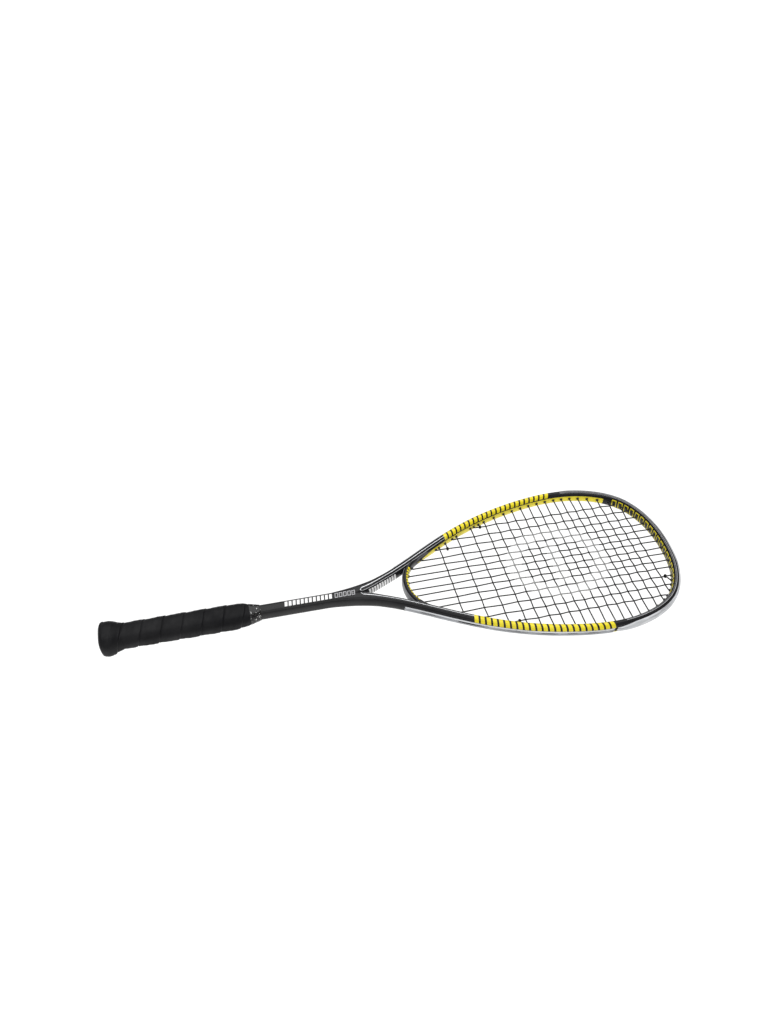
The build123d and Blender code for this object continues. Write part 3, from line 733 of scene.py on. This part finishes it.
def rounded_path(corners):
    """A path through (point, bend radius) corners, each turned by an arc of a few points."""
    points = [corners[0][0]]
    for (before, _), (corner, radius), (after, _) in zip(corners, corners[1:], corners[2:]):
        back = before - corner
        ahead = after - corner
        room = 0.9 * min(np.linalg.norm(corner - points[-1]), np.linalg.norm(ahead) / 2)
        back = back / np.linalg.norm(back)
        ahead = ahead / np.linalg.norm(ahead)
        turn = math.pi - math.acos(max(-1.0, min(1.0, float(np.dot(back, ahead)))))
        if turn < 0.002:
            continue
        radius = min(radius, room / math.tan(turn / 2))
        into = (back + ahead) / np.linalg.norm(back + ahead)
        centre = corner + into * radius / math.cos(turn / 2)
        side = -into
        sweep = (ahead - back) / np.linalg.norm(ahead - back)
        steps = max(2, int(turn / 0.2) + 1)
        for i in range(steps + 1):
            a = turn * (i / steps - 0.5)
            points.append(centre + radius * (side * math.cos(a) + sweep * math.sin(a)))
    points.append(corners[-1][0])
    return points


def turned(corners):
    """The same corners after half a turn about the racket's own axis."""
    return [(p * (1, -1, -1), radius) for p, radius in corners]


def loop_corners(first, last, side):
    """A loop round the channel between two holes, moved aside where it passes another hole."""
    low, high = sorted((first.s, last.s))
    marks = [(low, 0.0), (high, 0.0)]
    marks += [(hole.s, side * PASSING_HEIGHT) for hole in tube_holes if low < hole.s < high]
    marks.sort()
    corners = []
    for (s1, z1), (s2, z2) in zip(marks, marks[1:]):
        steps = max(1, round((s2 - s1) / LOOP_STEP))
        for i in range(1, steps + 1):
            s, z = s1 + (s2 - s1) * i / steps, z1 + (z2 - z1) * i / steps
            corners.append((over_channel(s, STRING_LIFT, z), LOOP_BEND))
    corners.pop()
    return corners if first.s < last.s else corners[::-1]


def end_corners(hole, direction):
    return [(hole.exit(), STRING_BEND), (hole.mouth(direction), STRING_BEND)]


def tail_corners(hole, knot):
    """The end of a string: in through its tie-off hole and along to its knot."""
    direction = (knot - hole.inner) / np.linalg.norm(knot - hole.inner)
    return end_corners(hole, direction) + [(knot - direction * KNOT_REACH, STRING_BEND)]


def weave_height(i, j):
    return WEAVE_HEIGHT if (i + j) % 2 == 0 else -WEAVE_HEIGHT


def main_corners():
    """Half of the main string, from the tip's centre through each main in turn to its tie-off."""
    corners = [(over_channel(TIP, STRING_LIFT), LOOP_BEND)]
    between_holes = bridge_holes[0].axis + bridge_holes[1].axis
    between_holes /= np.linalg.norm(between_holes)
    bridge_loop = BRIDGE_CENTRE + between_holes * (BRIDGE_FLOOR_RADIUS + STRING_LIFT)
    for i, (throat, tip) in enumerate(zip(throat_holes, tip_holes)):
        run = end_corners(throat, ALONG)
        run += [(np.array([x, MAIN_Y[i], weave_height(i, j)]), WEAVE_RADIUS)
                for j, x in enumerate(CROSS_X) if throat.mouth(ALONG)[0] < x < tip.mouth(ALONG)[0]]
        run += end_corners(tip, ALONG)[::-1]
        to_throat = i % 2 == 0
        corners += run[::-1] if to_throat else run
        if i == 0:
            corners.append((bridge_loop, LOOP_BEND))
        elif i == len(MAIN_Y) - 1:
            corners += loop_corners(throat, main_tie_off, 1)
        elif to_throat:
            corners += loop_corners(throat, throat_holes[i + 1], 1)
        else:
            corners += loop_corners(tip, tip_holes[i + 1], 1)
    return corners + tail_corners(main_tie_off, main_knot)


def cross_half(j):
    """Half of a cross, from the middle out to its hole on the left."""
    corners = [(np.array([CROSS_X[j], y, -weave_height(i, j)]), WEAVE_RADIUS)
               for i, y in enumerate(MAIN_Y)
               if throat_holes[i].mouth(ALONG)[0] < CROSS_X[j] < tip_holes[i].mouth(ALONG)[0]]
    return corners + end_corners(cross_holes[j], ACROSS)[::-1]


def cross_corners():
    """The cross string, from the cross by the tip down to the cross by the throat."""
    last = len(CROSS_X) - 1
    corners = turned(tail_corners(start_tie_off, start_knot)[::-1])
    corners += turned(loop_corners(start_tie_off, cross_holes[last], -1))
    for j in range(last, -1, -1):
        half = cross_half(j)
        whole = turned(half[::-1]) + half
        to_left = (last - j) % 2 == 0
        corners += whole if to_left else whole[::-1]
        loop = loop_corners(cross_holes[j], cross_holes[j - 1] if j > 0 else end_tie_off, -1)
        corners += loop if to_left else turned(loop)
    return corners + tail_corners(end_tie_off, end_knot)


def make_strings():
    half = main_corners()
    for name, corners, node in (
            ("main_string_fibre", turned(half[:0:-1]) + half, "main_string"),
            ("cross_string_fibre", cross_corners(), "cross_string")):
        verts, faces = tube_mesh(rounded_path(corners), STRING_RADIUS)
        finish(new_mesh(name, verts, faces, STRING), "string", node)


def make_noses():
    """The rounded black ends of the grommet barrels, inside the head."""
    radii = [radius for _, radius in NOSE_PROFILE]
    parts = []
    for hole in bridge_holes + tube_holes:
        path = [hole.inner - hole.axis * along for along, _ in NOSE_PROFILE]
        verts, faces = turned_profile(path, radii, hole.axis)
        parts += [(verts, faces), (verts * (1, -1, 1), faces)]
    finish(new_mesh("grommet_noses", *join(parts), NOSE), "grommet_plastic")


make_strings()
make_noses()

# ---------------------------------------------------------------- side strips and bumper

STRIP_START_X = 349.0
STRIP_END_X = 573.0
BUMPER_START_X = 575.5


def outer_trim(name, s_places, section, material, slot, *nodes):
    """A moulding along the outer side, whose section is an outline of (out, height) pairs."""
    rings = []
    for s in s_places:
        centre, normal, a = flat_station(s)
        rings.append([centre + normal * out + np.array([0, 0, z]) for out, z in section(s, a)])
    faces = capped_faces(len(rings), len(rings[0]))
    piece = new_mesh(name, np.array(rings).reshape(-1, 3), faces, material, sharp=40)
    finish(piece, slot, *nodes)
    return piece


def surface_out(s, z):
    """How far out the tube's side is at height z."""
    _, _, a, b, n = stations(s)
    return float(a[0] * (1 - abs(z / b[0]) ** n[0]) ** (1 / n[0]))


def both_ways(upper):
    """A closed outline from its upper half, which starts and ends on the middle line."""
    return upper + [(out, -z) for out, z in reversed(upper) if z > 0]


def strip_section(s, a):
    """Two rails with the strings lying in the groove between them. Its ends slope down."""
    from_end = min(s - s_at_x(STRIP_START_X), s_at_x(STRIP_END_X) - s)
    proud = -0.9 + 2.2 * float(smooth_step(from_end / 4.0))
    return both_ways([
        (a - 1.7, 0.0), (a - 1.7, 1.9), (a - 1.5, 2.12), (a + proud - 0.25, 2.2), (a + proud, 2.4),
        (a + proud, 2.75), (a + proud - 0.3, 3.0), (surface_out(s, 3.0) - 0.4, 3.05), (a - 2.5, 2.6),
        (a - 2.5, 0.0)])


def bumper_section(s, a):
    """A smooth guard over the channel. It starts narrow and soon covers most of the side."""
    from_start = min(s, 2 * TIP - s) - s_at_x(BUMPER_START_X)
    half = 3.1 + 3.2 * float(smooth_step(from_start / 26.0))
    proud = -0.3 + 1.6 * float(smooth_step((from_start + 1.0) / 5.0))
    upper = [(a + proud - 0.25, 0.0), (a + proud - 0.25, 0.9), (a + proud, 1.4)]
    for share in (0.35, 0.5, 0.65, 0.8, 0.92):
        z = half * share
        if z > 1.5:
            upper.append((surface_out(s, z) + proud, z))
        else:
            upper.append((a + proud, 1.45))
    upper += [(surface_out(s, half) + proud * 0.55, half), (surface_out(s, half + 0.1) - 0.3, half + 0.12),
              (a - 2.0, 2.4), (a - 2.0, 0.0)]
    return both_ways(upper)


def make_trims():
    places = np.linspace(s_at_x(STRIP_START_X), s_at_x(STRIP_END_X), 190)
    for side in ("left", "right"):
        piece = outer_trim("side_strip_" + side, places, strip_section, STRIP, "grommet_plastic",
                           "side_grommet_strip_" + side)
        if side == "right":
            piece.data.transform(Matrix.Scale(-1, 4, (0, 1, 0)))
            piece.data.flip_normals()
    places = np.linspace(s_at_x(BUMPER_START_X), 2 * TIP - s_at_x(BUMPER_START_X), 300)
    outer_trim("bumper_shell", places, bumper_section, BUMPER, "bumper_plastic", "head_bumper")


make_trims()

# ---------------------------------------------------------------- graphics


# Each mark's angles run round the tube: 0 is outwards, 90 degrees up and 180 inwards.
CORE_LIFT = 0.11               # a dark core stands above the outline that it lies on
PINSTRIPES = [(91, 96), (122, 127)]
PINSTRIPE_START_X = 304.5
HAIRPIN_REACH = 3.4
RIM_LINES = [(90, 94.5), (108, 111), (-94.5, -90)]
MARK_HALF_WIDTH = 3.2          # of the marks along the shaft
MARK_SLANT = 0.9


def make_decal(name, parts, material):
    finish(new_mesh(name, *join(parts), material, sharp=35), "frame_lacquer")


def row_of(count, first, pitch, length, inset=0.0):
    """Starts and ends of equal marks in a row, each drawn in by inset at both ends."""
    starts = [first + pitch * i + inset for i in range(count)]
    return [(start, start + length - 2 * inset) for start in starts]


def print_outer_blocks():
    """Slanted bars over the outer side of both arms, on both faces."""
    first = s_at_x(422)
    pitch = (s_at_x(577) - first) / 23
    blocks = []
    for start, end in row_of(23, first, pitch, pitch * 0.66):
        blocks += both_sides(start, end, 20, 146, slant=-3.2)
        blocks += both_sides(start, end, -146, -20, slant=3.2)
    make_decal("outer_blocks", blocks, YELLOW)


def print_inner_band():
    band = both_sides(s_at_x(378), s_at_x_head(641), 157, 226, taper=26)
    make_decal("inner_band", band, YELLOW)


def print_tip_outlines():
    """Hollow blocks round the inside of the tip."""
    first = s_at_x_head(650)
    pitch = (2 * TIP - s_at_x_head(652) - first) / 20
    outlines = [patch(on_tube, start, end, 138, 222, slant=1.5)
                for start, end in row_of(20, first, pitch, pitch * 0.72)]
    cores = [patch(on_tube, start, end, 149, 211, slant=1.5, lift=CORE_LIFT)
             for start, end in row_of(20, first, pitch, pitch * 0.72, inset=0.9)]
    make_decal("tip_outlines", outlines, YELLOW)
    make_decal("tip_outline_cores", cores, DARK)


def print_throat_marks():
    """Yellow marks inside the bridge, white ticks inside the arms, and a painted grey highlight where the
    two meet.
    """
    marks = [patch(on_bridge, start, end, 98, 222, step=1.2, slant=0.8)
             for start, end in row_of(13, -36, 5.6, 3.7)]
    make_decal("bridge_marks", marks, YELLOW)
    ticks = []
    for start, end in row_of(11, s_at_x(311), 3.6, 2.5):
        ticks += both_sides(start, end, 144, 210, slant=1.2)
    make_decal("throat_ticks", ticks, WHITE)
    # Painted highlight: a grey-blue patch on the inner top of each arm, where the bridge joins it.
    make_decal("inner_painted_highlight", both_sides(s_at_x(368), s_at_x(393), 118, 160, taper=9), PAINTED_HIGHLIGHT_GREY)


def on_hairpin(s, degrees, lift):
    """The round end that joins the two pinstripes of an arm, near the crotch."""
    low, high = PINSTRIPES[0][0], PINSTRIPES[1][1]
    back = HAIRPIN_REACH * np.sin(math.pi * (degrees - low) / (high - low))
    return on_tube(s_at_x(PINSTRIPE_START_X) + s - back, degrees, lift)


def print_lines():
    """Pinstripes along the arms, with their hairpin ends, and thin lines round the tip."""
    lines = []
    for low, high in PINSTRIPES:
        lines += both_sides(s_at_x(PINSTRIPE_START_X), s_at_x(421), low, high)
    make_decal("pinstripes", lines, SILVER)
    low, high = PINSTRIPES[0][0], PINSTRIPES[1][1]
    hairpins = [patch(on_hairpin, 0, 1.0, low, high, mirrored=mirrored) for mirrored in (False, True)]
    make_decal("pinstripe_ends", hairpins, SILVER)
    start = s_at_x_head(586)
    rims = [patch(on_tube, start, 2 * TIP - start, low, high) for low, high in RIM_LINES]
    make_decal("rim_lines", rims, PALE)


def shaft_mark(start, end, half_width=MARK_HALF_WIDTH, slant=MARK_SLANT, **settings):
    return patch(on_shaft_top, start, end, -half_width, half_width, slant=slant, v_step=0.8, **settings)


def print_shaft_marks():
    """White dashes along the shaft, then a few hollow ones as the arms part."""
    dashes = [shaft_mark(start, end) for start, end in row_of(12, 212, 4.75, 3.3)]
    make_decal("shaft_dashes", dashes, WHITE)
    outlined = [shaft_mark(start, end) for start, end in row_of(5, 271, 5.0, 3.9)]
    make_decal("shaft_outlines", outlined, PALE)
    inside = [shaft_mark(start, end, 2.4, 0.7, lift=CORE_LIFT) for start, end in row_of(5, 271.8, 5.0, 2.5)]
    make_decal("shaft_outline_cores", inside, DARK)


def make_throat_cover():
    """The grey moulding over the strings on the bridge's handle side."""
    cover = patch(on_bridge, -44, 44, -38, 38, lift=0.45, depth=0.7)
    finish(new_mesh("throat_cover", *cover, COVER, sharp=35), "grommet_plastic")


make_throat_cover()
print_outer_blocks()
print_inner_band()
print_tip_outlines()
print_throat_marks()
print_lines()
print_shaft_marks()

# ---------------------------------------------------------------- handle

# Profiles are (x, half width, half depth).
HANDLE_SQUARENESS = 2.8
UNDER_GRIP = [(0.8, 14.8, 13.4), (2.2, 15.8, 14.4), (4.5, 16.6, 15.1), (8, 16.9, 15.3), (12, 16.6, 15.0),
              (15.5, 15.8, 14.1), (18.5, 14.7, 12.9), (21.5, 13.6, 11.7), (24, 13.0, 11.0),
              (26, 12.3, 10.3), (148, 12.3, 10.3), (156, 12.05, 10.1), (163, 11.55, 9.7),
              (168, 10.95, 9.15), (172, 10.35, 8.65)]
GRIP_CLEARANCE = 0.15
GRIP_THICKNESS = [(0.8, 0.5), (1.5, 1.3), (2.6, 1.8), (5, 1.9), (150, 1.9), (166, 1.5), (172, 0.9)]
GRIP_START = 0.8
GRIP_END = 172.0
TAPE_PITCH = 23.5
TAPE_LAP = 0.55
FINISHING_PROFILE = [(171.2, 11.6, 10.0), (172.15, 11.3, 10.2), (176, 10.2, 9.9), (181, 8.6, 9.4),
                     (184, 7.75, 9.2)]
FINISHING_PITCH = 4.1
TAPE_BORE_WIDTH = 7.2          # half sizes of the finishing tape's inside, round the shaft
TAPE_BORE_DEPTH = 8.6
SHAFT_SQUARENESS = 3.4


def profile_at(x, profile):
    """Half width and half depth of a profile at x."""
    return table(x, [(r[0], r[1]) for r in profile]), table(x, [(r[0], r[2]) for r in profile])


def under_grip(x):
    a, b = profile_at(x, UNDER_GRIP)
    return a + GRIP_CLEARANCE, b + GRIP_CLEARANCE


def grip_surface(x, angle):
    """The wound tape's outside: it climbs over the turn before and drops at each seam."""
    a, b = under_grip(x)
    turns = (x - 8.0) / TAPE_PITCH + angle / (2 * math.pi)
    along = (turns - np.floor(turns)) * TAPE_PITCH
    climb = TAPE_LAP * smooth_step((along - 1.5) / (TAPE_PITCH - 6))
    edge = smooth_step((TAPE_PITCH - along) / 1.1)
    groove = 0.5 * np.exp(-(np.minimum(along, TAPE_PITCH - along) / 0.55) ** 2)
    puff = 0.22 * np.sin(math.pi * np.clip(along / TAPE_PITCH, 0, 1))
    soft = 0.12 * np.sin(0.31 * x + 3 * angle) * np.sin(0.17 * x - 2 * angle + 1.3)
    soft += 0.07 * np.sin(0.9 * x + 5 * angle + 0.4)
    fade = smooth_step((x - GRIP_START) / 4) * smooth_step((GRIP_END - x) / 5)
    lift = table(x, GRIP_THICKNESS) + (climb * edge + puff - groove + soft - 0.25) * fade
    across, up = rounded_outline(angle, a, b, HANDLE_SQUARENESS, lift)
    return np.stack([x, across, up], 1)


def sleeve_grid(start, end, rings, around):
    """Every x and angle of a sleeve's rings, from start to end."""
    xs = np.linspace(start, end, rings)
    angles = np.linspace(0, 2 * math.pi, around, endpoint=False)
    return [grid.ravel() for grid in np.meshgrid(xs, angles, indexing="ij")]


def make_grip():
    """The outside of the winding, then its inside on the way back."""
    around, rings, rings_inside = 112, 420, 40
    outer = grip_surface(*sleeve_grid(GRIP_START, GRIP_END, rings, around))
    x, angle = sleeve_grid(GRIP_END, GRIP_START, rings_inside, around)
    across, up = rounded_outline(angle, *under_grip(x), HANDLE_SQUARENESS)
    verts = np.vstack([outer, np.stack([x, across, up], 1)])
    piece = new_mesh("grip_winding", verts, loop_faces(rings + rings_inside, around), GRIP, sharp=60)
    finish(piece, "grip_tape", "grip_tape")


def make_finishing_tape():
    """The glossy tape over the grip's end, wound a little unevenly."""
    around, rings = 96, 60
    start, end = FINISHING_PROFILE[0][0], FINISHING_PROFILE[-1][0]
    x, angle = sleeve_grid(start, end, rings, around)
    turns = x / FINISHING_PITCH + angle / (2 * math.pi)
    lap = 0.16 * (turns - np.floor(turns)) + 0.06 * np.sin(4 * angle + 0.9 * x)
    across, up = rounded_outline(angle, *profile_at(x, FINISHING_PROFILE), HANDLE_SQUARENESS, lap)
    outer = np.stack([x, across, up], 1)
    x, angle = sleeve_grid(end, start, rings, around)
    across, up = rounded_outline(angle, TAPE_BORE_WIDTH, TAPE_BORE_DEPTH, SHAFT_SQUARENESS)
    verts = np.vstack([outer, np.stack([x, across, up], 1)])
    piece = new_mesh("finishing_winding", verts, loop_faces(2 * rings, around), FILM, sharp=60)
    finish(piece, "finishing_tape", "finishing_tape")


make_grip()
make_finishing_tape()

# ---------------------------------------------------------------- CAD nodes that show as they are

for node, material, slot in (
        ("throat_grommet_strip", STRIP, "grommet_plastic"),
        ("butt_cap", CAP, "cap_plastic"),
        ("butt_cap_staples", STEEL, "staple_steel"),
        ("handle_pallet", FOAM, "pallet_foam"),
        ("main_string_knots", STRING, "string"),
        ("cross_string_knots", STRING, "string")):
    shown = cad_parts[node]
    shown.data.materials.clear()
    shown.data.materials.append(material)

# ---------------------------------------------------------------- floor, lights and camera

FLOOR_HALF_SIZE = 6000.0
FLOOR_Z = -350.0
WORLD_STRENGTH = 0.25
CAMERA_PLACE = Vector((0.1687, -0.5406, 0.7778))         # metres
CAMERA_RIGHT = Vector((0.98189, -0.18803, -0.02327))
CAMERA_UP = Vector((0.15607, 0.73305, 0.66203))


def make_floor():
    corners = ((-1, -1), (1, -1), (1, 1), (-1, 1))
    verts = [(x * FLOOR_HALF_SIZE, y * FLOOR_HALF_SIZE, FLOOR_Z) for x, y in corners]
    floor = new_mesh("floor", verts, [(0, 1, 2, 3)], plain_floor())


def wide_sun(name, towards, spread, strength):
    """Light from one side of the room, as soft as its spread in degrees."""
    data = bpy.data.lights.new(name, "SUN")
    data.energy = strength
    data.angle = math.radians(spread)
    light = bpy.data.objects.new(name, data)
    light.rotation_mode = "QUATERNION"
    light.rotation_quaternion = Vector(towards).to_track_quat("-Z", "Y")
    bpy.context.scene.collection.objects.link(light)


def make_world():
    world = bpy.data.worlds.new("studio")
    world.use_nodes = True
    background = world.node_tree.nodes["Background"]
    background.inputs["Color"].default_value = (1, 1, 1, 1)
    background.inputs["Strength"].default_value = WORLD_STRENGTH
    bpy.context.scene.world = world
    bpy.context.scene.view_settings.view_transform = "Standard"


def make_camera():
    data = bpy.data.cameras.new("camera")
    data.lens = 28.48
    data.sensor_width = 36
    data.shift_x = 0.0625
    camera = bpy.data.objects.new("camera", data)
    columns = (CAMERA_RIGHT, CAMERA_UP, CAMERA_RIGHT.cross(CAMERA_UP), CAMERA_PLACE)
    camera.matrix_world = Matrix([*zip(*columns), (0, 0, 0, 1)])
    bpy.context.scene.collection.objects.link(camera)
    bpy.context.scene.camera = camera


make_floor()
make_world()
wide_sun("overhead", (0.0, -0.35, -1.0), 70, 2.6)
wide_sun("front", (0.1, 0.8, -0.6), 50, 0.9)
make_camera()
